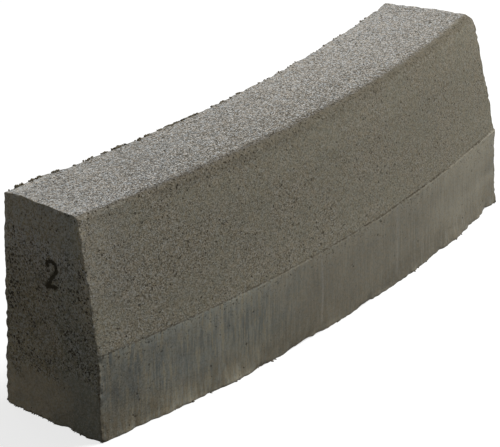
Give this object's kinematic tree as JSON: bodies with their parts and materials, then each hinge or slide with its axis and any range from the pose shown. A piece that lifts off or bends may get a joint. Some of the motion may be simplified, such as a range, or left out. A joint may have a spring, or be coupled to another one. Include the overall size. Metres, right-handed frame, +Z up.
{
  "type": "concrete kerb stone",
  "caption": "Curved concrete kerb stone with a sloped, rounded road face above an upright foot band, a flat top, a flat base and radial end faces that butt to the next stone.",
  "frame": {"origin": "middle of the stone's bounding box in plan, on the plane of its base", "axes": "+X along the stone from its numbered end to its plain end, +Y from the road face to the back, +Z up; the bend's centre is behind the stone, on +Y"},
  "size_m": [0.8396, 0.1902, 0.25],
  "materials": {
    "concrete": "matt grey-brown pressed concrete: gritty top, fine pitted sloped face, smooth streaked foot band, porous end faces"
  },
  "bodies": {
    "root": {"kerb_stone": "concrete"}
  },
  "joints": []
}
